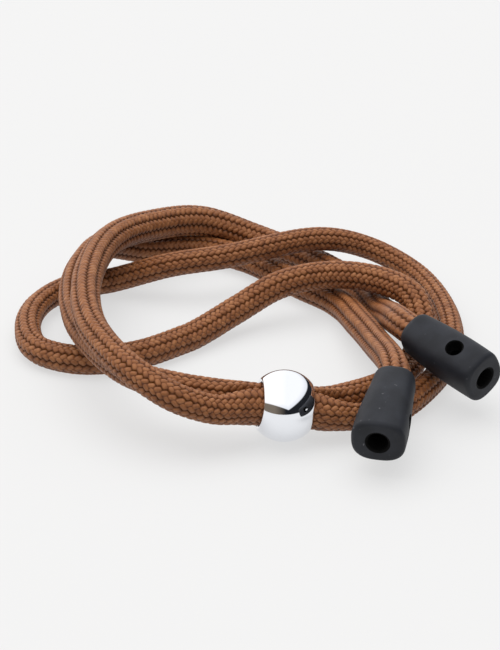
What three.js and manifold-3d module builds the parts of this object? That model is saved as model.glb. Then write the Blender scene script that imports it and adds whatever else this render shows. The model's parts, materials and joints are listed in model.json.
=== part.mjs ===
// Eyewear retainer cord: one braided cord folded in two, a rubber sleeve on each end for the tip
// of a spectacle arm, and a ball slider on both strands. Millimetres, +Z up, lying on a table.

import * as THREE from "three";
import { mergeVertices } from "three/addons/utils/BufferGeometryUtils.js";
import Module from "manifold-3d";

const wasm = await Module();
wasm.setup();

const { degToRad, lerp, smoothstep } = THREE.MathUtils;

// ---- driving dimensions ----

const GAP = 0.3;
const CORD_R = 2.6;
const COVER_WALL = 0.7;
const CORE_R = CORD_R - COVER_WALL - GAP;
const RING_SEGMENTS = 6;
const TUBE_STEP = 4.6;

const BEAD_R = 6.2;
const BORE_R = 3.8;
const BEAD_RIM_R = 0.4;
const BEAD_SEGMENTS = 48;

const SLEEVE_LENGTH = 17.5;
const SOCKET = { radius: 2.9, depth: 7 };
const MOUTH = { radius: 2.1, depth: 9.8, flare: 0.5 };
const CROSS_HOLE = { radius: 1.6, fromCordEnd: 11.4 };

// ---- materials ----

const material = (color, roughness, metalness) =>
  new THREE.MeshStandardMaterial({ color, roughness, metalness });

const braid = material(0x7a4a33, 0.85, 0);
const filler = material(0xd8d2c8, 0.9, 0);
const chrome = material(0xd9dde2, 0.08, 1);
const rubber = material(0x2b2e35, 0.6, 0);

// ---- the straight stretch that the slider grips ----

const SLIDE_YAW = degToRad(8);
const SLIDE_PITCH = degToRad(9);
const GRIP_ROLL = degToRad(6);
const BEAD_CENTRE = new THREE.Vector3(5.8, -30, 6.25);
const GRIP = { from: -12.5, to: 7.5, halfSpacing: 2.68, radius: BORE_R - GAP, split: GAP / 2 };

const direction = (yaw, pitch) =>
  new THREE.Vector3(
    Math.cos(yaw) * Math.cos(pitch),
    Math.sin(yaw) * Math.cos(pitch),
    Math.sin(pitch),
  );

const slideAxis = direction(SLIDE_YAW, -SLIDE_PITCH);
const gripAcross = new THREE.Vector3(-Math.sin(SLIDE_YAW), Math.cos(SLIDE_YAW), 0)
  .applyAxisAngle(slideAxis, GRIP_ROLL);

const gripPoint = (along, across) =>
  BEAD_CENTRE.clone()
    .addScaledVector(slideAxis, along)
    .addScaledVector(gripAcross, across);

// ---- where the two sleeves lie: middle of the cord end, and the way the mouth points ----

const FRONT_SLEEVE = {
  cordEnd: new THREE.Vector3(24.8, -27.8, 10),
  towardsMouth: direction(degToRad(-102.5), degToRad(-9)),
  roll: 0,
};
const RIGHT_SLEEVE = {
  cordEnd: new THREE.Vector3(28.7, -10.9, 10.6),
  towardsMouth: direction(degToRad(-47.5), degToRad(-8)),
  roll: degToRad(-60),
};

// ---- the cord's route, from the front sleeve to the right one, chosen by eye ----
// It goes round about four times, so it has about fourteen points for each turn.

const ROUTE = [
  {
    name: "front_tail",
    points: [[24.6, -22.5, 10.1], [22.4, -8, 6.8], [19.8, 3.5, 4.9], [16.5, 16, 2.6]],
  },
  {
    name: "lower_top_arc",
    points: [[9.4, 24, 2.6], [-1, 35.5, 2.6], [-10.5, 39.9, 2.6], [-20.5, 36.8, 4], [-27.6, 31.5, 7.3]],
  },
  {
    name: "lower_left_arc",
    points: [[-31.4, 20.5, 8.2], [-32.2, 7, 8.2], [-29.5, -6, 8.2], [-20.2, -23.6, 8.9], [-13.2, -28.2, 9.2]],
  },
  { name: "rear_grip", grip: { from: GRIP.from, to: GRIP.to, side: 1 } },
  {
    name: "inner_right_arc",
    points: [
      [17.3, -24.5, 5.2], [20.8, -21.3, 4.5], [25, -15, 3], [28.2, -8.8, 2.6],
      [30.4, -1.5, 2.9], [31.2, 4.5, 5.1], [29.3, 10, 7.6], [22.5, 15, 8.4],
    ],
  },
  { name: "middle_run", points: [[14, 16.8, 8.2], [5.5, 14.5, 7.3], [-2.5, 10, 4.4], [-11, 2.5, 2.6]] },
  {
    name: "left_loop",
    points: [
      [-20.5, -4.5, 2.6], [-30, -6.4, 2.6], [-38, -2.5, 2.6],
      [-40.6, 6, 2.6], [-39.3, 15.5, 2.6], [-34, 22.8, 2.6],
    ],
  },
  { name: "rear_run", points: [[-26, 25.3, 3], [-15, 24, 6.8], [-5, 25, 8], [13.5, 33, 8]] },
  {
    name: "outer_right_arc",
    points: [[22.5, 34.6, 5.4], [30.7, 29.6, 3], [35.6, 16.5, 2.6], [36.6, 2, 2.6], [34.8, -8, 2.6]],
  },
  { name: "front_corner", points: [[29.4, -19.2, 2.6], [25.4, -24.6, 2.6], [20.2, -28.5, 3.5]] },
  { name: "front_grip", grip: { from: GRIP.to, to: GRIP.from, side: -1 } },
  {
    name: "upper_left_arc",
    points: [[-12.3, -34.6, 10.2], [-18.4, -31, 12.4], [-23, -25.2, 13.4], [-28, -12.5, 13.5], [-29.3, 5, 13.5]],
  },
  { name: "upper_top_arc", points: [[-26, 23.8, 12.2], [-19.3, 34.6, 10], [-9.5, 41.5, 7.8], [1, 41.8, 4]] },
  {
    name: "right_tail",
    points: [[11, 35.5, 2.6], [20.7, 22.5, 2.6], [24.2, 13, 2.8], [25.6, 3.5, 6.4], [26.5, -6.4, 10.3]],
  },
];

const SOCKETED = SOCKET.depth - GAP;

const stretchPoints = ({ points, grip }) =>
  grip
    ? [grip.from, grip.to].map((along) => gripPoint(along, grip.side * GRIP.halfSpacing))
    : points.map((xyz) => new THREE.Vector3(...xyz));

const inSocket = ({ cordEnd, towardsMouth }) =>
  cordEnd.clone().addScaledVector(towardsMouth, SOCKETED);

const routePoints = [inSocket(FRONT_SLEEVE), FRONT_SLEEVE.cordEnd.clone()];
const firstIndex = ROUTE.map((stretch) => {
  const index = routePoints.length;
  routePoints.push(...stretchPoints(stretch));
  return index;
});
routePoints.push(RIGHT_SLEEVE.cordEnd.clone(), inSocket(RIGHT_SLEEVE));

const LENGTH_SAMPLES = 24;
const route = new THREE.CatmullRomCurve3(routePoints, false, "centripetal");
route.arcLengthDivisions = (routePoints.length - 1) * LENGTH_SAMPLES;
const lengths = route.getLengths();
const total = lengths.at(-1);
const lengthAtPoint = (index) => lengths[index * LENGTH_SAMPLES];

// A piece of the route between two lengths along it, never lower than the table lets it lie.
class Stretch extends THREE.Curve {
  constructor(from, to) {
    super();
    this.from = from;
    this.to = to;
  }

  getPoint(t) {
    const point = route.getPointAt(lerp(this.from, this.to, t) / total);
    point.z = Math.max(point.z, CORD_R);
    return point;
  }
}

// ---- building ----

const group = new THREE.Group();

const addMesh = (name, geometry, look) => {
  const mesh = new THREE.Mesh(geometry, look);
  mesh.name = name;
  group.add(mesh);
  return mesh;
};

const circle = (radius) => new THREE.Path().absarc(0, 0, radius, 0, 2 * Math.PI);

const disc = (radius, holeRadius) => {
  const shape = new THREE.Shape(circle(radius).getPoints(RING_SEGMENTS));
  if (holeRadius) {
    shape.holes.push(new THREE.Path(circle(holeRadius).getPoints(RING_SEGMENTS)));
  }
  return shape;
};

const sweep = (shape, curve) =>
  new THREE.ExtrudeGeometry(shape, {
    extrudePath: curve,
    steps: Math.max(2, Math.round(curve.getLength() / TUBE_STEP)),
    bevelEnabled: false,
  });

const addTube = (name, curve) => {
  addMesh(`cord_cover_${name}`, sweep(disc(CORD_R, CORD_R - COVER_WALL), curve), braid);
  addMesh(`cord_core_${name}`, sweep(disc(CORE_R), curve), filler);
};

// One half of the round bore, with its corners rounded: the shape of a strand under the slider.
const squeezedOutline = (inset, cornerRadius) => {
  const radius = GRIP.radius - inset;
  const corner = cornerRadius - inset / 2;
  const flat = GRIP.split + inset;
  const cornerY = flat + corner;
  const cornerX = Math.sqrt((radius - corner) ** 2 - cornerY ** 2);
  const tangent = Math.atan2(cornerY, cornerX);
  return new THREE.Path()
    .absarc(cornerX, cornerY, corner, -Math.PI / 2, tangent)
    .absarc(0, 0, radius, tangent, Math.PI - tangent)
    .absarc(-cornerX, cornerY, corner, Math.PI - tangent, 1.5 * Math.PI)
    .getPoints(RING_SEGMENTS);
};

const GRIP_CORNER_R = 1.1;

const addGripped = (name, side) => {
  const length = GRIP.to - GRIP.from - 2 * GAP;
  const extrude = (shape) => new THREE.ExtrudeGeometry(shape, { depth: length, bevelEnabled: false });
  const cover = new THREE.Shape(squeezedOutline(0, GRIP_CORNER_R));
  cover.holes.push(new THREE.Path(squeezedOutline(COVER_WALL, GRIP_CORNER_R)));
  const core = new THREE.Shape(squeezedOutline(COVER_WALL + GAP, GRIP_CORNER_R));
  const outwards = gripAcross.clone().multiplyScalar(side);
  const sideways = new THREE.Vector3().crossVectors(outwards, slideAxis);
  const placed = new THREE.Matrix4()
    .makeBasis(sideways, outwards, slideAxis)
    .setPosition(gripPoint(GRIP.from + GAP, 0));
  addMesh(`cord_cover_${name}`, extrude(cover), braid).applyMatrix4(placed);
  addMesh(`cord_core_${name}`, extrude(core), filler).applyMatrix4(placed);
};

const addSocketedEnd = (name, sleeve) => {
  addTube(name, new THREE.LineCurve3(sleeve.cordEnd.clone(), inSocket(sleeve)));
};

const END_CLEARANCE = 0.8;

const addCord = () => {
  addSocketedEnd("front_end", FRONT_SLEEVE);
  ROUTE.forEach(({ name, grip }, i) => {
    if (grip) {
      addGripped(name, grip.side);
      return;
    }
    const isFirst = i === 0;
    const isLast = i === ROUTE.length - 1;
    const start = isFirst ? 1 : firstIndex[i] - (ROUTE[i - 1].grip ? 1 : 0);
    const end = isLast ? routePoints.length - 2 : firstIndex[i + 1];
    const from = lengthAtPoint(start) + (isFirst ? END_CLEARANCE : GAP / 2);
    const to = lengthAtPoint(end) - (isLast ? END_CLEARANCE : GAP / 2);
    addTube(name, new Stretch(from, to));
  });
  addSocketedEnd("right_end", RIGHT_SLEEVE);
};

// The profile is half the ball's section: two rounded rims joined by the ball and by the bore.
const addBead = () => {
  const rimX = BORE_R + BEAD_RIM_R;
  const rimY = Math.sqrt((BEAD_R - BEAD_RIM_R) ** 2 - rimX ** 2);
  const tangent = Math.atan2(rimY, rimX);
  const profile = new THREE.Path()
    .absarc(rimX, -rimY, BEAD_RIM_R, Math.PI, 2 * Math.PI - tangent)
    .absarc(0, 0, BEAD_R, -tangent, tangent)
    .absarc(rimX, rimY, BEAD_RIM_R, tangent, Math.PI)
    .lineTo(BORE_R, -rimY)
    .getPoints(10);
  const bead = addMesh("slider_bead", new THREE.LatheGeometry(profile, BEAD_SEGMENTS), chrome);
  bead.quaternion.setFromUnitVectors(new THREE.Vector3(0, 1, 0), slideAxis);
  bead.position.copy(BEAD_CENTRE);
};

// ---- solid cutting for the sleeves ----

const toManifold = (geometry) => {
  geometry.deleteAttribute("normal");
  geometry.deleteAttribute("uv");
  const merged = mergeVertices(geometry, 1e-4);
  return new wasm.Manifold(
    new wasm.Mesh({
      numProp: 3,
      vertProperties: Float32Array.from(merged.attributes.position.array),
      triVerts: Uint32Array.from(merged.index.array),
    }),
  );
};

const toGeometry = (solid) => {
  const { vertProperties, triVerts } = solid.getMesh();
  const geometry = new THREE.BufferGeometry();
  geometry.setAttribute("position", new THREE.BufferAttribute(vertProperties, 3));
  geometry.setIndex(new THREE.BufferAttribute(triVerts, 1));
  geometry.computeVertexNormals();
  return geometry;
};

// ---- a sleeve in its own frame: +X from the cord end to the mouth, Y across its width ----

const SLEEVE_HALF = {
  widthAtCord: 3.6,
  widthAtMouth: 4.6,
  heightAtCord: 3.5,
  heightAtMouth: 4,
  heightBulge: 0.35,
};
const SLEEVE_EDGE = { cord: 0.28, mouth: 0.18 };
const SLEEVE_SQUARENESS = 2.7;
const SLEEVE_SEGMENTS = 40;
const SLEEVE_RINGS = 12;

const halfWidth = (t) =>
  lerp(SLEEVE_HALF.widthAtCord, SLEEVE_HALF.widthAtMouth, smoothstep(t, 0, 0.85));
const halfHeight = (t) =>
  lerp(SLEEVE_HALF.heightAtCord, SLEEVE_HALF.heightAtMouth, t)
  + SLEEVE_HALF.heightBulge * Math.sin(Math.PI * t);

// The profile turns a unit disc into the sleeve: how full the section is, against the length.
const sleeveProfile = () => {
  const edge = (centre, depth, from, to) =>
    new THREE.Path()
      .absellipse(1 - depth, centre, depth, depth * halfWidth(1), from, to)
      .getPoints(3);
  const cordEdge = edge(SLEEVE_EDGE.cord * halfWidth(1), SLEEVE_EDGE.cord, -Math.PI / 2, 0);
  const mouthEdge = edge(
    SLEEVE_LENGTH - SLEEVE_EDGE.mouth * halfWidth(1), SLEEVE_EDGE.mouth, 0, Math.PI / 2,
  );
  const start = cordEdge.at(-1).y;
  const length = mouthEdge[0].y - start;
  const sides = Array.from({ length: SLEEVE_RINGS - 1 }, (_, i) =>
    new THREE.Vector2(1, start + (length * (i + 1)) / SLEEVE_RINGS));
  return [
    new THREE.Vector2(0, 0), ...cordEdge, ...sides, ...mouthEdge, new THREE.Vector2(0, SLEEVE_LENGTH),
  ];
};

const sleeveBody = () => {
  const geometry = new THREE.LatheGeometry(sleeveProfile(), SLEEVE_SEGMENTS);
  const position = geometry.attributes.position;
  for (let i = 0; i < position.count; i += 1) {
    const along = position.getY(i);
    const fullness = Math.hypot(position.getX(i), position.getZ(i));
    const angle = Math.atan2(position.getX(i), position.getZ(i));
    const [c, s] = [Math.cos(angle), Math.sin(angle)];
    const power = SLEEVE_SQUARENESS;
    const reach = fullness / (Math.abs(c) ** power + Math.abs(s) ** power) ** (1 / power);
    const t = along / SLEEVE_LENGTH;
    position.setXYZ(i, along, reach * c * halfWidth(t), reach * s * halfHeight(t));
  }
  return toManifold(geometry);
};

const drill = (endRadius, startRadius, length, centreX) =>
  toManifold(new THREE.CylinderGeometry(endRadius, startRadius, length, 24)
    .rotateZ(-Math.PI / 2)
    .translate(centreX, 0, 0));

const sleeveGeometry = () => {
  const overrun = 1;
  const socket = drill(
    SOCKET.radius, SOCKET.radius, SOCKET.depth + overrun, (SOCKET.depth - overrun) / 2,
  );
  const mouth = drill(
    MOUTH.radius, MOUTH.radius, MOUTH.depth + overrun, SLEEVE_LENGTH - (MOUTH.depth - overrun) / 2,
  );
  const flare = drill(
    MOUTH.radius + 2 * MOUTH.flare, MOUTH.radius, 2 * MOUTH.flare, SLEEVE_LENGTH,
  );
  const crossHole = toManifold(new THREE.CylinderGeometry(
    CROSS_HOLE.radius, CROSS_HOLE.radius, 4 * SLEEVE_HALF.widthAtMouth, 24,
  ).translate(CROSS_HOLE.fromCordEnd, 0, 0));
  const cut = [socket, mouth, flare, crossHole].reduce((all, tool) => all.add(tool));
  return toGeometry(sleeveBody().subtract(cut));
};

const addSleeve = (name, { cordEnd, towardsMouth, roll }) => {
  const sleeve = addMesh(name, sleeveGeometry(), rubber);
  const up = new THREE.Vector3(0, 0, 1);
  const across = new THREE.Vector3().crossVectors(up, towardsMouth).normalize();
  const over = new THREE.Vector3().crossVectors(towardsMouth, across);
  sleeve.quaternion.setFromRotationMatrix(
    new THREE.Matrix4().makeBasis(towardsMouth, across, over),
  );
  sleeve.rotateX(roll);
  sleeve.position.copy(cordEnd);
};

addCord();
addBead();
addSleeve("sleeve_front", FRONT_SLEEVE);
addSleeve("sleeve_right", RIGHT_SLEEVE);

export default group;
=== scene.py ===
"""An eyewear retainer cord on a pale table: one braided cord folded in two, a chrome ball that
slides on both strands, and a rubber sleeve on each end. Metres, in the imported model's frame."""

import json
import math
import bpy
import numpy as np
from mathutils import Matrix, Vector


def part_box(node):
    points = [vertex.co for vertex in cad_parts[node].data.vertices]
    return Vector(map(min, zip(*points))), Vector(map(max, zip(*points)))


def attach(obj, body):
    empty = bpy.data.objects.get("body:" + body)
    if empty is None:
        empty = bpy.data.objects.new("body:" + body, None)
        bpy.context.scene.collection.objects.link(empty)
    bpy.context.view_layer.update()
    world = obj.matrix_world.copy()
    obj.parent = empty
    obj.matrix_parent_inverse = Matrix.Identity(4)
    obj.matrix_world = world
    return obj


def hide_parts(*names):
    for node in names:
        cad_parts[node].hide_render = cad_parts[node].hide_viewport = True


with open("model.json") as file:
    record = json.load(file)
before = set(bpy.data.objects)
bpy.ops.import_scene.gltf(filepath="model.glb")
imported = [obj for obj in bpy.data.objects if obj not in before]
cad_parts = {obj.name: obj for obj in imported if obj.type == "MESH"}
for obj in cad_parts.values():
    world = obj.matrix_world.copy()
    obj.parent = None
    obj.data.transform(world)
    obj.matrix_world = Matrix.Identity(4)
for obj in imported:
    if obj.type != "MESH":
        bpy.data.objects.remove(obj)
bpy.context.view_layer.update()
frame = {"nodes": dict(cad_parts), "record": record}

MM = 0.001

# ---- sizes ----

CORD_R = 2.6 * MM
BEAD_R = 6.2 * MM
BORE_R = 3.8 * MM
BEAD_RIM_R = 0.4 * MM
SLEEVE_LENGTH = 17.5 * MM
SOCKET_DEPTH = 7 * MM

# ---- the slider's axis, and the way across its two strands ----

slide_axis = np.array(frame["record"]["behaviour"]["joints"][0]["axis"])
bead_low, bead_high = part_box("slider_bead")
bead_centre = (np.array(bead_low) + np.array(bead_high)) / 2
GRIP_ROLL = math.radians(6)


def unit(vector):
    vector = np.asarray(vector, float)
    return vector / np.linalg.norm(vector)


def direction(yaw, pitch):
    yaw, pitch = math.radians(yaw), math.radians(pitch)
    flat = math.cos(pitch)
    return np.array([flat * math.cos(yaw), flat * math.sin(yaw), math.sin(pitch)])


level_across = unit(np.cross([0, 0, 1], slide_axis))
grip_across = math.cos(GRIP_ROLL) * level_across + math.sin(GRIP_ROLL) * np.cross(
    slide_axis, level_across
)


def grip_point(along, across):
    return bead_centre + along * MM * slide_axis + across * MM * grip_across


# ---- where the sleeves lie: middle of the cord end, and the way the mouth points ----

FRONT_END = np.array([0.0248, -0.0278, 0.0100])
FRONT_AIM = direction(-102.5, -9)
RIGHT_END = np.array([0.0287, -0.0109, 0.0106])
RIGHT_AIM = direction(-47.5, -8)
RIGHT_ROLL = math.radians(-60)
SOCKETED = SOCKET_DEPTH - 0.3 * MM

# ---- the cord's route, as in part.mjs, from the front sleeve to the right one ----

BEFORE_REAR_GRIP = [
    (0.0246, -0.0225, 0.0101), (0.0224, -0.0080, 0.0068), (0.0198, 0.0035, 0.0049),
    (0.0165, 0.0160, 0.0026), (0.0094, 0.0240, 0.0026), (-0.0010, 0.0355, 0.0026),
    (-0.0105, 0.0399, 0.0026), (-0.0205, 0.0368, 0.0040), (-0.0276, 0.0315, 0.0073),
    (-0.0314, 0.0205, 0.0082), (-0.0322, 0.0070, 0.0082), (-0.0295, -0.0060, 0.0082),
    (-0.0202, -0.0236, 0.0089), (-0.0132, -0.0282, 0.0092),
]
BETWEEN_GRIPS = [
    (0.0173, -0.0245, 0.0052), (0.0208, -0.0213, 0.0045), (0.0250, -0.0150, 0.0030),
    (0.0282, -0.0088, 0.0026), (0.0304, -0.0015, 0.0029), (0.0312, 0.0045, 0.0051),
    (0.0293, 0.0100, 0.0076), (0.0225, 0.0150, 0.0084), (0.0140, 0.0168, 0.0082),
    (0.0055, 0.0145, 0.0073), (-0.0025, 0.0100, 0.0044), (-0.0110, 0.0025, 0.0026),
    (-0.0205, -0.0045, 0.0026), (-0.0300, -0.0064, 0.0026), (-0.0380, -0.0025, 0.0026),
    (-0.0406, 0.0060, 0.0026), (-0.0393, 0.0155, 0.0026), (-0.0340, 0.0228, 0.0026),
    (-0.0260, 0.0253, 0.0030), (-0.0150, 0.0240, 0.0068), (-0.0050, 0.0250, 0.0080),
    (0.0135, 0.0330, 0.0080), (0.0225, 0.0346, 0.0054), (0.0307, 0.0296, 0.0030),
    (0.0356, 0.0165, 0.0026), (0.0366, 0.0020, 0.0026), (0.0348, -0.0080, 0.0026),
    (0.0294, -0.0192, 0.0026), (0.0254, -0.0246, 0.0026), (0.0202, -0.0285, 0.0035),
]
AFTER_FRONT_GRIP = [
    (-0.0123, -0.0346, 0.0102), (-0.0184, -0.0310, 0.0124), (-0.0230, -0.0252, 0.0134),
    (-0.0280, -0.0125, 0.0135), (-0.0293, 0.0050, 0.0135), (-0.0260, 0.0238, 0.0122),
    (-0.0193, 0.0346, 0.0100), (-0.0095, 0.0415, 0.0078), (0.0010, 0.0418, 0.0040),
    (0.0110, 0.0355, 0.0026), (0.0207, 0.0225, 0.0026), (0.0242, 0.0130, 0.0028),
    (0.0256, 0.0035, 0.0064), (0.0265, -0.0064, 0.0103),
]
# Through the ball, how far along its axis and how far the strand is from it, in millimetres.
GRIP_STATIONS = [(-12.5, 2.68), (-8, 2.3), (-4, 1.82), (0, 1.78), (4, 1.82), (7.5, 2.4)]

# The soft cord lies thicker or thinner, and its ribs stand up more or less: against the length
# along it in millimetres, a factor on its radius and a height in millimetres.
GIRTH = [
    (0, 1), (165, 1), (182, 0.94), (195, 0.94), (210, 1), (320, 1), (342, 0.9), (400, 0.88),
    (424, 0.8), (465, 0.87), (482, 0.92), (492, 0.92), (500, 0.97), (555, 1.03), (588, 1.08),
    (602, 1.13), (616, 1.12), (640, 1), (700, 1),
]
RIDGES = [
    (0, 0.2), (45, 0.2), (70, 0.1), (110, 0.16), (150, 0.16), (180, 0.04), (212, 0.04),
    (225, 0.12), (260, 0.05), (310, 0.05), (340, 0.12), (380, 0.04), (430, 0.1), (465, 0.14),
    (490, 0.03), (530, 0.03), (555, 0.16), (625, 0.12), (655, 0.2), (700, 0.2),
]


def route_points():
    rear = [grip_point(along, across) for along, across in GRIP_STATIONS]
    front = [grip_point(along, -across) for along, across in reversed(GRIP_STATIONS)]
    return np.array([
        FRONT_END + SOCKETED * FRONT_AIM, FRONT_END, *BEFORE_REAR_GRIP, *rear,
        *BETWEEN_GRIPS, *front, *AFTER_FRONT_GRIP, RIGHT_END, RIGHT_END + SOCKETED * RIGHT_AIM,
    ])


def spline(points, steps=24):
    """A centripetal Catmull-Rom curve through the points."""
    padded = np.vstack([2 * points[0] - points[1], points, 2 * points[-1] - points[-2]])
    knots = np.sqrt(np.linalg.norm(np.diff(padded, axis=0), axis=1))
    t = np.linspace(0, 1, steps, endpoint=False)[:, None]
    curve = []
    for i in range(len(points) - 1):
        before, start, end, after = padded[i : i + 4]
        d0, d1, d2 = knots[i : i + 3]
        leave = ((start - before) / d0 - (end - before) / (d0 + d1)) * d1 + (end - start)
        arrive = (end - start) + (-(after - start) / (d1 + d2) + (after - end) / d2) * d1
        curve.append(
            (2 * t**3 - 3 * t**2 + 1) * start
            + (t**3 - 2 * t**2 + t) * leave
            + (-2 * t**3 + 3 * t**2) * end
            + (t**3 - t**2) * arrive
        )
    return np.vstack([*curve, points[-1:]])


def evenly(curve, step):
    lengths = np.concatenate([[0], np.cumsum(np.linalg.norm(np.diff(curve, axis=0), axis=1))])
    at = np.linspace(0, lengths[-1], int(lengths[-1] / step) + 1)
    return np.stack([np.interp(at, lengths, curve[:, k]) for k in range(3)], axis=1), at


# ---- camera ----

CAMERA_TARGET = Vector((0, 0.0125, 0))
CAMERA_ELEVATION = math.radians(27)
CAMERA_DISTANCE = 0.5
SENSOR = 36
LENS = 194.4


def add_camera():
    data = bpy.data.cameras.new("camera")
    data.sensor_fit = "HORIZONTAL"
    data.sensor_width = SENSOR
    data.lens = LENS
    camera = add_object("camera", data)
    back = Vector((0, -math.cos(CAMERA_ELEVATION), math.sin(CAMERA_ELEVATION)))
    camera.location = CAMERA_TARGET + CAMERA_DISTANCE * back
    camera.rotation_euler = (math.pi / 2 - CAMERA_ELEVATION, 0, 0)
    bpy.context.scene.camera = camera


# ---- meshes ----


def add_object(name, data):
    piece = bpy.data.objects.new(name, data)
    bpy.context.collection.objects.link(piece)
    return piece


def smooth_mesh(name, verts, faces, material):
    mesh = bpy.data.meshes.new(name)
    mesh.from_pydata(verts.tolist(), [], faces)
    mesh.polygons.foreach_set("use_smooth", np.ones(len(mesh.polygons), bool))
    mesh.materials.append(material)
    mesh.update()
    return mesh


def add_mesh(name, verts, faces, material, body):
    """A smooth-shaded piece that rides on the body."""
    piece = add_object(name, smooth_mesh(name, verts, faces, material))
    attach(piece, body)
    return piece


def grid_faces(rows, columns, wrap):
    """Quads over a grid of vertices, row by row, joined round each row if it wraps."""
    row = np.arange(rows - 1)[:, None] * columns
    here = np.arange(columns if wrap else columns - 1)[None, :]
    there = (here + 1) % columns
    corners = [row + here, row + there, row + columns + there, row + columns + here]
    return np.stack(corners, axis=-1).reshape(-1, 4)


def closed_faces(rows, columns):
    """The faces of a wrapped grid, with one more across each end, all facing out."""
    first_row = list(range(columns))
    last_row = [(rows - 1) * columns + i for i in first_row]
    return grid_faces(rows, columns, wrap=True).tolist() + [first_row[::-1], last_row]


# ---- the cord as a surface: length along it, angle round it and radius ----


class Cord:
    STEP = 0.25 * MM
    GRIP_HALF = 4.8 * MM
    GRIP_FADE = 13 * MM
    FLAT_AT = 1.78 * MM
    BORE_PLAY = 0.08 * MM

    def __init__(self):
        curve = spline(route_points())
        curve[:, 2] = np.maximum(curve[:, 2], CORD_R)
        self.centre, self.at = evenly(curve, self.STEP)
        self.length = self.at[-1]
        self.along = np.gradient(self.centre, axis=0)
        self.along /= np.linalg.norm(self.along, axis=1)[:, None]
        self.side = self.untwisted_sides()
        self.up = np.cross(self.along, self.side)
        offset = self.centre - bead_centre
        distance = np.abs(offset @ slide_axis)
        near = np.linalg.norm(offset, axis=1) < 2 * self.GRIP_FADE
        fade = np.clip((self.GRIP_FADE - distance) / (self.GRIP_FADE - self.GRIP_HALF), 0, 1)
        self.squeeze = np.where(near, fade**2 * (3 - 2 * fade), 0)
        inwards = -np.sign(offset @ grip_across)[:, None] * grip_across
        self.inward_angle = np.unwrap(np.arctan2(
            np.sum(inwards * self.up, axis=1), np.sum(inwards * self.side, axis=1)
        ))

    def untwisted_sides(self):
        sides = np.empty_like(self.centre)
        side = np.cross(self.along[0], [0, 0, 1])
        for i, along in enumerate(self.along):
            side = unit(side - side.dot(along) * along)
            sides[i] = side
        return sides

    def lookup(self, values, s):
        if values.ndim == 1:
            return np.interp(s, self.at, values)
        return np.stack([np.interp(s, self.at, values[:, k]) for k in range(3)], axis=-1)

    def squeezed(self, s, angle):
        """How much a strand gives way, at that angle, to half of the ball's round bore."""
        amount = self.lookup(self.squeeze, s)
        turn = angle - self.lookup(self.inward_angle, s)
        least_cosine = 0.05
        flat = self.FLAT_AT / np.maximum(np.cos(turn), least_cosine)
        reach = self.FLAT_AT * np.cos(turn)
        bore = BORE_R - self.BORE_PLAY
        arc = reach + np.sqrt(bore**2 - (self.FLAT_AT * np.sin(turn)) ** 2)
        power = 10
        edge = (flat**-power + arc**-power) ** (-1 / power)
        return 1 + amount * (edge / CORD_R - 1)

    def valley(self, angle):
        """0 on the crest that each pair of ribs shares, and 1 in the valley between two pairs."""
        return 0.5 - 0.5 * np.cos(RIBS / 2 * angle)

    def ridge_height(self, s):
        return np.interp(s / MM, *np.transpose(RIDGES)) * MM

    def smoothness(self, s, angle):
        """How far the stitches merge: not at all in a valley, most on a tall ridge's crest."""
        return self.ridge_height(s) / FULL_RIDGE * (1 - self.valley(angle))

    def points(self, s, angle, radius):
        girth = np.interp(s / MM, *np.transpose(GIRTH))
        radius = radius * girth * self.squeezed(s, angle)
        radius = radius + self.ridge_height(s) * (0.5 - self.valley(angle))
        across = np.cos(angle) * radius
        over = np.sin(angle) * radius
        return (
            self.lookup(self.centre, s)
            + across[..., None] * self.lookup(self.side, s)
            + over[..., None] * self.lookup(self.up, s)
        )


# ---- the braid: sixteen ribs of slanted stitches over a closed tube ----

RIBS = 16
PAIRING = 0.07
STITCH_PITCH = 1.2 * MM
STITCH_LEAN = math.radians(42)
STITCH_HALF_LENGTH = 0.66 * MM
STITCH_HALF_WIDTH = 0.54 * MM
STITCH_RISE = 0.3 * MM
STITCH_FLOOR = CORD_R - STITCH_RISE
STITCH_ROWS, STITCH_COLUMNS = 7, 5
LEAN_SPREAD = 0.05
PLACE_SPREAD = 0.03 * MM
SIZE_SPREAD = 0.05
RISE_WITH_SIZE = 0.4
FULL_RIDGE = 0.2 * MM
MERGING = 0.8
# How much painted shade darkens the valleys between rib pairs.
VALLEY_SHADE = 0.35
TUBE_R = CORD_R - 0.26 * MM
TUBE_SIDES = 32
TUBE_STEP = 0.6 * MM
STRETCHES = 14

rng = np.random.default_rng(7)


def cord_tube(cord, material):
    s = np.linspace(0, cord.length, int(cord.length / TUBE_STEP))
    angle = np.linspace(0, 2 * math.pi, TUBE_SIDES, endpoint=False)
    verts = cord.points(*np.broadcast_arrays(s[:, None], angle[None, :]), TUBE_R).reshape(-1, 3)
    mesh = smooth_mesh("cord", verts, closed_faces(len(s), TUBE_SIDES), material)
    piece = add_object("cord", mesh)
    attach(piece, "cord")
    return piece


def stitch_patch():
    """One plump stitch: how far along its yarn and across it, and how high, from -1 or 0 to 1."""
    along, across = np.meshgrid(
        np.linspace(-1, 1, STITCH_ROWS), np.linspace(-1, 1, STITCH_COLUMNS), indexing="ij"
    )
    rise = (1 - 0.7 * along**4) * (1 - across**4) ** 0.5
    width = 1 - 0.3 * along**4
    return along, across * width, rise


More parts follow.
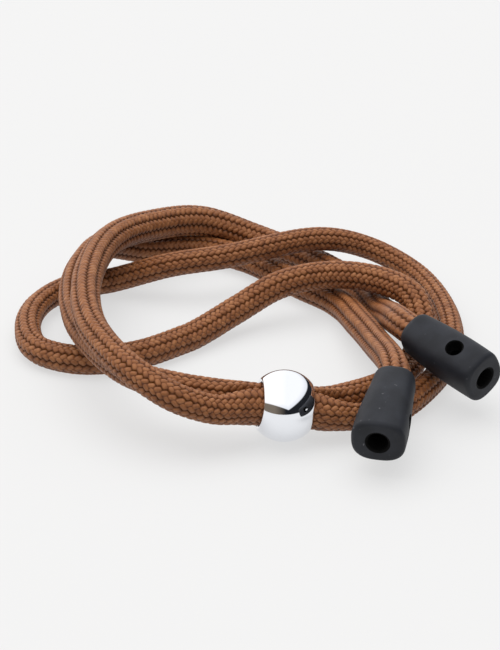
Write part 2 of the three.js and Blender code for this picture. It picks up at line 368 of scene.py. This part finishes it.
def stitches(cord, start, end, name, material):
    along, across, rise = stitch_patch()
    centres = []
    for rib in range(RIBS):
        shift = 0.5 * (rib % 2)
        first = math.ceil(start / STITCH_PITCH - shift)
        last = math.ceil(end / STITCH_PITCH - shift)
        s = (np.arange(first, last) + shift) * STITCH_PITCH
        centres.append(np.stack([s, np.full(len(s), rib)], axis=1))
    s, rib = np.concatenate(centres).T
    leaning = np.where(rib % 2 == 0, 1, -1)
    lean = leaning * (STITCH_LEAN + rng.normal(0, LEAN_SPREAD, len(rib)))
    s = s + rng.normal(0, PLACE_SPREAD, len(s))
    size = 1 + rng.normal(0, SIZE_SPREAD, len(s))
    rib = rib - 0.5 + PAIRING * leaning
    lean, s, rib, size = (v[:, None, None] for v in (lean, s, rib, size))
    run = along * STITCH_HALF_LENGTH
    sweep = across * size * STITCH_HALF_WIDTH
    where = np.clip(s + run * np.cos(lean) - sweep * np.sin(lean), 0, cord.length)
    turn = (run * np.sin(lean) + sweep * np.cos(lean)) / CORD_R
    angle = rib * (2 * math.pi / RIBS) + turn
    rise = rise + MERGING * cord.smoothness(where, angle) * (1 - rise)
    radius = STITCH_FLOOR + rise * STITCH_RISE * (1 + RISE_WITH_SIZE * (size - 1))
    verts = cord.points(where, angle, radius).reshape(-1, 3)
    patch = grid_faces(STITCH_ROWS, STITCH_COLUMNS, wrap=False)
    starts = np.arange(s.shape[0])[:, None, None] * (STITCH_ROWS * STITCH_COLUMNS)
    faces = (patch[None] + starts).reshape(-1, 4).tolist()
    piece = add_mesh(name, verts, faces, material, "cord")
    # Painted shade, kept on each point: the low parts of a stitch darker, and the valleys between
    # rib pairs darker where the ridges stand tall.
    shade_depth = cord.ridge_height(where) / FULL_RIDGE * cord.valley(angle)
    painted_shade = rise * size - VALLEY_SHADE * shade_depth
    piece.data.attributes.new("painted_shade", "FLOAT", "POINT").data.foreach_set("value", painted_shade.ravel())
    return piece


def add_cord(materials):
    cord = Cord()
    # The tube shows only between the stitches; its near-black brown is painted shade there.
    tube = cord_tube(cord, materials["groove_shade"])
    cuts = np.linspace(0, cord.length, STRETCHES + 1)
    braid = [
        stitches(cord, cuts[i], cuts[i + 1], f"braid_{i + 1}", materials["braid"])
        for i in range(STRETCHES)
    ]
    solids = [name for name in frame["nodes"] if name.startswith("cord_")]
    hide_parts(*solids)


# ---- turned shapes ----


def turned(name, profile, segments, material, body, matrix):
    """A closed profile of (radius, height) pairs turned about the local Z axis."""
    profile = np.asarray(profile)
    angle = np.linspace(0, 2 * math.pi, segments, endpoint=False)
    rings = np.stack([
        profile[:, :1] * np.cos(angle), profile[:, :1] * np.sin(angle),
        np.repeat(profile[:, 1:], segments, axis=1),
    ], axis=-1)
    verts = np.array([matrix @ Vector(v) for v in rings.reshape(-1, 3)])
    back_to_first_ring = grid_faces(len(rings) + 1, segments, wrap=True) % len(verts)
    return add_mesh(name, verts, back_to_first_ring.tolist(), material, body)


def arc(centre, radius, start, end, steps):
    angle = np.linspace(start, end, steps)
    return [(centre[0] + radius * math.cos(a), centre[1] + radius * math.sin(a)) for a in angle]


def axes(x_axis, y_axis, z_axis, origin):
    matrix = Matrix((x_axis, y_axis, z_axis)).transposed().to_4x4()
    matrix.translation = Vector(origin)
    return matrix


BEAD_SEGMENTS = 160
BEAD_STEPS = 72
BEAD_RIM_STEPS = 10
BORE_STEPS = 8


def add_bead(material):
    rim_r = BORE_R + BEAD_RIM_R
    rim_z = math.sqrt((BEAD_R - BEAD_RIM_R) ** 2 - rim_r**2)
    tangent = math.atan2(rim_z, rim_r)
    profile = [
        *arc((rim_r, -rim_z), BEAD_RIM_R, -math.pi, -tangent, BEAD_RIM_STEPS),
        *arc((0, 0), BEAD_R, -tangent, tangent, BEAD_STEPS)[1:-1],
        *arc((rim_r, rim_z), BEAD_RIM_R, tangent, math.pi, BEAD_RIM_STEPS),
        *[(BORE_R, z) for z in np.linspace(rim_z, -rim_z, BORE_STEPS)[1:-1]],
    ]
    place = axes(grip_across, np.cross(slide_axis, grip_across), slide_axis, bead_centre)
    bead = turned("ball_slider", profile, BEAD_SEGMENTS, material, "slider", place)
    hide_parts("slider_bead")


# ---- sleeves, in a frame with X from the cord end to the mouth and Y across the width ----

HALF_WIDTH = (3.6 * MM, 4.6 * MM)
HALF_HEIGHT = (3.5 * MM, 4 * MM)
FULL_WIDTH_AT = 0.85
HEIGHT_BULGE = 0.35 * MM
SLEEVE_SQUARENESS = 2.7
MOUTH_R = 1.75 * MM
MOUTH_DEPTH = 9.8 * MM
CROSS_HOLE_R = 1.45 * MM
CROSS_HOLE_AT = 11.4 * MM
SLEEVE_SEGMENTS = 128
CUTTER_SEGMENTS = 64
EDGE_STEPS = 12
SIDE_STEPS = 42
LIP_STEPS = 8
SHARP_ANGLE = math.radians(38)


def sleeve_section(t):
    ease = np.clip(t / FULL_WIDTH_AT, 0, 1)
    ease = ease**2 * (3 - 2 * ease)
    width = HALF_WIDTH[0] + (HALF_WIDTH[1] - HALF_WIDTH[0]) * ease
    height = HALF_HEIGHT[0] + (HALF_HEIGHT[1] - HALF_HEIGHT[0]) * t
    height += HEIGHT_BULGE * np.sin(math.pi * t)
    return width, height


def sleeve_profile():
    """How full the section is against the length: an ellipse's quarter at each end."""
    cord_edge, mouth_edge = 0.28, 0.18
    cord_length, mouth_length = 1.3 * MM, 0.85 * MM
    quarter = np.linspace(0, math.pi / 2, EDGE_STEPS)
    start = [(1 - cord_edge * (1 - math.sin(a)), cord_length * (1 - math.cos(a))) for a in quarter]
    end = [
        (1 - mouth_edge * (1 - math.cos(a)), SLEEVE_LENGTH - mouth_length * (1 - math.sin(a)))
        for a in quarter
    ]
    middle = np.linspace(cord_length, SLEEVE_LENGTH - mouth_length, SIDE_STEPS)[1:-1]
    return [(0, 0), *start, *[(1, x) for x in middle], *end, (0, SLEEVE_LENGTH)]


def sleeve_body(place, material):
    profile = np.array(sleeve_profile())
    angle = np.linspace(0, 2 * math.pi, SLEEVE_SEGMENTS, endpoint=False)
    cos, sin = np.cos(angle), np.sin(angle)
    round_off = (np.abs(cos) ** SLEEVE_SQUARENESS + np.abs(sin) ** SLEEVE_SQUARENESS) ** (
        -1 / SLEEVE_SQUARENESS
    )
    inner = profile[1:-1]
    width, height = sleeve_section(inner[:, 1] / SLEEVE_LENGTH)
    verts = np.stack([
        np.repeat(inner[:, 1:], SLEEVE_SEGMENTS, axis=1),
        inner[:, :1] * width[:, None] * cos * round_off,
        inner[:, :1] * height[:, None] * sin * round_off,
    ], axis=-1).reshape(-1, 3)
    mesh = bpy.data.meshes.new("sleeve")
    faces = closed_faces(len(inner), SLEEVE_SEGMENTS)
    mesh.from_pydata([tuple(place @ Vector(v)) for v in verts], [], faces)
    mesh.materials.append(material)
    return mesh


def cutter(profile, place, material):
    """A closed turned solid about the local X axis, from (radius, length) pairs."""
    angle = np.linspace(0, 2 * math.pi, CUTTER_SEGMENTS, endpoint=False)
    profile = np.array(profile)
    verts = np.stack([
        np.repeat(profile[:, 1:], CUTTER_SEGMENTS, axis=1),
        profile[:, :1] * np.cos(angle), profile[:, :1] * np.sin(angle),
    ], axis=-1).reshape(-1, 3)
    mesh = bpy.data.meshes.new("cutter")
    faces = closed_faces(len(profile), CUTTER_SEGMENTS)
    mesh.from_pydata([tuple(place @ Vector(v)) for v in verts], [], faces)
    mesh.materials.append(material)
    return add_object("cutter", mesh)


def hole_profiles():
    flare = 0.4 * MM
    bevel = 0.4 * MM
    beyond = 1 * MM
    lip = [
        (MOUTH_R + flare * (1 - math.cos(a)), SLEEVE_LENGTH - flare * (1 - math.sin(a)))
        for a in np.linspace(0, math.pi / 2, LIP_STEPS)
    ]
    floor = SLEEVE_LENGTH - MOUTH_DEPTH
    mouth = [(MOUTH_R - bevel, floor), (MOUTH_R, floor + bevel), *lip,
             (MOUTH_R + flare, SLEEVE_LENGTH + beyond)]
    play = 0.12 * MM
    socket_r = CORD_R + play
    entry_r = socket_r + 0.2 * MM
    entry_depth = 0.25 * MM
    socket = [(entry_r, -beyond), (entry_r, 0), (socket_r, entry_depth), (socket_r, SOCKET_DEPTH)]
    return mouth, socket


def cross_hole_profile(half_width):
    lip = 0.3 * MM
    beyond = 2 * MM
    reach = half_width + beyond
    skin = half_width - lip
    return [
        (CROSS_HOLE_R + lip + beyond, -reach), (CROSS_HOLE_R + lip, -half_width),
        (CROSS_HOLE_R, -skin), (CROSS_HOLE_R, skin),
        (CROSS_HOLE_R + lip, half_width), (CROSS_HOLE_R + lip + beyond, reach),
    ]


def add_sleeve(name, node, end, aim, roll, rubber, inside_shade):
    level = unit(np.cross([0, 0, 1], aim))
    above = np.cross(aim, level)
    across = math.cos(roll) * level + math.sin(roll) * above
    place = axes(aim, across, np.cross(aim, across), end)
    sleeve = add_object(name, sleeve_body(place, rubber))
    half_width = sleeve_section(CROSS_HOLE_AT / SLEEVE_LENGTH)[0]
    through = axes(across, -aim, np.cross(aim, across), end + CROSS_HOLE_AT * aim)
    mouth, socket = hole_profiles()
    # The cutters give the walls inside the holes a near-black colour: painted shade.
    tools = [
        cutter(mouth, place, inside_shade), cutter(socket, place, inside_shade),
        cutter(cross_hole_profile(half_width), through, inside_shade),
    ]
    for tool in tools:
        cut = sleeve.modifiers.new("cut", "BOOLEAN")
        cut.operation = "DIFFERENCE"
        cut.solver = "EXACT"
        cut.material_mode = "TRANSFER"
        cut.object = tool
    graph = bpy.context.evaluated_depsgraph_get()
    finished = bpy.data.meshes.new_from_object(sleeve.evaluated_get(graph))
    sleeve.modifiers.clear()
    sleeve.data = finished
    finished.shade_smooth()
    finished.set_sharp_from_angle(angle=SHARP_ANGLE)
    for tool in tools:
        bpy.data.objects.remove(tool)
    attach(sleeve, "cord")
    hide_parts(node)


# ---- materials ----


def new_material(name, color, roughness, metallic=0.0):
    material = bpy.data.materials.new(name)
    material.use_nodes = True
    shader = material.node_tree.nodes["Principled BSDF"]
    shader.inputs["Base Color"].default_value = (*color, 1)
    shader.inputs["Roughness"].default_value = roughness
    shader.inputs["Metallic"].default_value = metallic
    return material, material.node_tree, shader


def noise(tree, scale, detail=3.0):
    where = tree.nodes.new("ShaderNodeTexCoord")
    texture = tree.nodes.new("ShaderNodeTexNoise")
    texture.inputs["Scale"].default_value = scale
    texture.inputs["Detail"].default_value = detail
    tree.links.new(where.outputs["Object"], texture.inputs["Vector"])
    return texture.outputs["Fac"]


def ramp(tree, value, stops):
    node = tree.nodes.new("ShaderNodeValToRGB")
    elements = node.color_ramp.elements
    while len(elements) < len(stops):
        elements.new(0.5)
    for element, (position, color) in zip(elements, stops):
        element.position = position
        element.color = (*color, 1)
    tree.links.new(value, node.inputs["Fac"])
    return node.outputs["Color"]


def mixed(tree, how, first, second):
    node = tree.nodes.new("ShaderNodeMix")
    node.data_type = "RGBA"
    node.blend_type = how
    node.inputs["Factor"].default_value = 1
    tree.links.new(first, node.inputs["A"])
    tree.links.new(second, node.inputs["B"])
    return node.outputs["Result"]


def bump(tree, height, shader, strength, distance):
    node = tree.nodes.new("ShaderNodeBump")
    node.inputs["Strength"].default_value = strength
    node.inputs["Distance"].default_value = distance
    tree.links.new(height, node.inputs["Height"])
    tree.links.new(node.outputs["Normal"], shader.inputs["Normal"])


def braid_material():
    """Yarn with painted shade: darker low down between the stitches, which carry how high they are
    in an attribute.
    """
    material, tree, shader = new_material("braid", (0.215, 0.073, 0.02), 0.5)
    painted_shade = tree.nodes.new("ShaderNodeAttribute")
    painted_shade.attribute_name = "painted_shade"
    # Painted shade: the yarn colour is darkened where the stitch's attribute is low.
    shade_depth = ramp(tree, painted_shade.outputs["Fac"], [
        (0.0, (0.34, 0.25, 0.14)), (0.45, (0.58, 0.48, 0.38)), (0.7, (0.88, 0.84, 0.78)),
        (0.98, (1.0, 1.0, 1.0)),
    ])
    yarn = ramp(tree, noise(tree, 700), [
        (0.3, (0.165, 0.055, 0.014)), (0.5, (0.225, 0.081, 0.024)), (0.7, (0.295, 0.121, 0.044)),
    ])
    tree.links.new(mixed(tree, "MULTIPLY", yarn, shade_depth), shader.inputs["Base Color"])
    shader.inputs["Sheen Weight"].default_value = 0.04
    shader.inputs["Sheen Roughness"].default_value = 0.5
    shader.inputs["Specular IOR Level"].default_value = 0.36
    bump(tree, noise(tree, 6000, 2.0), shader, 0.3, 0.05 * MM)
    return material


def groove_shade_material():
    # Near-black brown for the tube under the stitches: painted shade in the gaps between them.
    material, tree, shader = new_material("groove_shade", (0.05, 0.02, 0.01), 0.9)
    color = ramp(tree, noise(tree, 900), [
        (0.35, (0.06, 0.022, 0.006)), (0.65, (0.095, 0.037, 0.011)),
    ])
    tree.links.new(color, shader.inputs["Base Color"])
    shader.inputs["Specular IOR Level"].default_value = 0.0
    return material


def chrome_material():
    material, tree, shader = new_material("chrome", (0.89, 0.91, 0.95), 0.05, 1.0)
    rough = ramp(tree, noise(tree, 250), [(0.4, (0.035,) * 3), (0.6, (0.06,) * 3)])
    tree.links.new(rough, shader.inputs["Roughness"])
    return material


def rubber_material():
    material, tree, shader = new_material("rubber", (0.03, 0.033, 0.04), 0.6)
    mottle = ramp(tree, noise(tree, 260), [
        (0.35, (0.0055, 0.0068, 0.0105)), (0.65, (0.0125, 0.0145, 0.0205)),
    ])
    specks = ramp(tree, noise(tree, 1300, 1.0), [(0.74, (0, 0, 0)), (0.8, (0.07, 0.07, 0.075))])
    tree.links.new(mixed(tree, "ADD", mottle, specks), shader.inputs["Base Color"])
    shader.inputs["Specular IOR Level"].default_value = 0.35
    bump(tree, noise(tree, 4500, 4.0), shader, 0.15, 0.04 * MM)
    return material


def hole_shade_material():
    # Near black for the walls inside the sleeves' holes: painted shade in the holes.
    material, tree, shader = new_material("hole_shade", (0.002, 0.002, 0.002), 0.9)
    color = ramp(tree, noise(tree, 300), [(0.4, (0.002,) * 3), (0.6, (0.004,) * 3)])
    tree.links.new(color, shader.inputs["Base Color"])
    shader.inputs["Specular IOR Level"].default_value = 0.1
    return material


FLOOR_GLOW = 0.6


def floor_material():
    """A pale table that gives off light of its own, which lifts the shadows on it."""
    material, tree, shader = new_material("floor", (0.185, 0.185, 0.185), 0.9)
    color = ramp(tree, noise(tree, 3, 1.0), [(0.3, (0.185,) * 3), (0.7, (0.188,) * 3)])
    tree.links.new(color, shader.inputs["Base Color"])
    shader.inputs["Specular IOR Level"].default_value = 0.0
    shader.inputs["Emission Color"].default_value = (1.0, 1.0, 1.0, 1.0)
    shader.inputs["Emission Strength"].default_value = FLOOR_GLOW
    return material


# ---- studio ----

OVERHEAD_PLACE = Vector((-0.15, 0.2, 1.1))
OVERHEAD_SIZE = (1.4, 1.2)
OVERHEAD_POWER = 12
WORLD_STRENGTH = 1.06
# Each gap is where the weighted sum of a direction's parts, and the offset, falls below zero.
RIGHT_GAP = ((-0.616, 0.131, 1.0), 0.04)
FRONT_GAP = ((0.409, 0.629, 1.0), 0.27)


def add_floor():
    half = 2.0
    mesh = bpy.data.meshes.new("floor")
    corners = [(-half, -half, 0), (half, -half, 0), (half, half, 0), (-half, half, 0)]
    mesh.from_pydata(corners, [], [(0, 1, 2, 3)])
    mesh.materials.append(floor_material())
    floor = add_object("floor", mesh)


def add_overhead_light():
    """A wide panel, hidden from reflections so that its edge doesn't show on the ball."""
    data = bpy.data.lights.new("overhead", "AREA")
    data.shape = "RECTANGLE"
    data.size, data.size_y = OVERHEAD_SIZE
    data.energy = OVERHEAD_POWER
    light = add_object("overhead", data)
    light.location = OVERHEAD_PLACE
    light.rotation_euler = (-OVERHEAD_PLACE).to_track_quat("-Z", "Y").to_euler()
    light.visible_glossy = False


def weighted(tree, vector, weights, offset):
    product = tree.nodes.new("ShaderNodeVectorMath")
    product.operation = "DOT_PRODUCT"
    product.inputs[1].default_value = weights
    tree.links.new(vector, product.inputs[0])
    total = tree.nodes.new("ShaderNodeMath")
    total.operation = "ADD"
    total.inputs[1].default_value = offset
    tree.links.new(product.outputs["Value"], total.inputs[0])
    return total.outputs["Value"]


def add_world():
    """A bright tent with two dark gaps low down: at the right, and in front to the left."""
    world = bpy.data.worlds.new("studio")
    world.use_nodes = True
    bpy.context.scene.world = world
    tree = world.node_tree
    where = tree.nodes.new("ShaderNodeTexCoord")
    ray = where.outputs["Generated"]
    above_gaps = tree.nodes.new("ShaderNodeMath")
    above_gaps.operation = "MINIMUM"
    tree.links.new(weighted(tree, ray, *RIGHT_GAP), above_gaps.inputs[0])
    tree.links.new(weighted(tree, ray, *FRONT_GAP), above_gaps.inputs[1])
    tent = ramp(tree, above_gaps.outputs["Value"], [
        (0.0, (0, 0, 0)), (0.045, (0.82, 0.83, 0.86)), (0.3, (1.0, 1.0, 1.0)),
    ])
    gap = ramp(tree, weighted(tree, ray, (0.5, 0.0, 0.0), 0.5), [
        (0.25, (0.19, 0.155, 0.12)), (0.55, (0.014, 0.015, 0.018)),
    ])
    background = tree.nodes["Background"]
    tree.links.new(mixed(tree, "ADD", tent, gap), background.inputs["Color"])
    background.inputs["Strength"].default_value = WORLD_STRENGTH


add_camera()
looks = {
    "braid": braid_material(),
    "groove_shade": groove_shade_material(),
    "chrome": chrome_material(),
    "rubber": rubber_material(),
    "hole_shade": hole_shade_material(),
}
add_cord(looks)
add_bead(looks["chrome"])
rubbers = (looks["rubber"], looks["hole_shade"])
add_sleeve("front_sleeve", "sleeve_front", FRONT_END, FRONT_AIM, 0.0, *rubbers)
add_sleeve("right_sleeve", "sleeve_right", RIGHT_END, RIGHT_AIM, RIGHT_ROLL, *rubbers)
add_floor()
add_world()
add_overhead_light()
bpy.context.scene.view_settings.view_transform = "Standard"
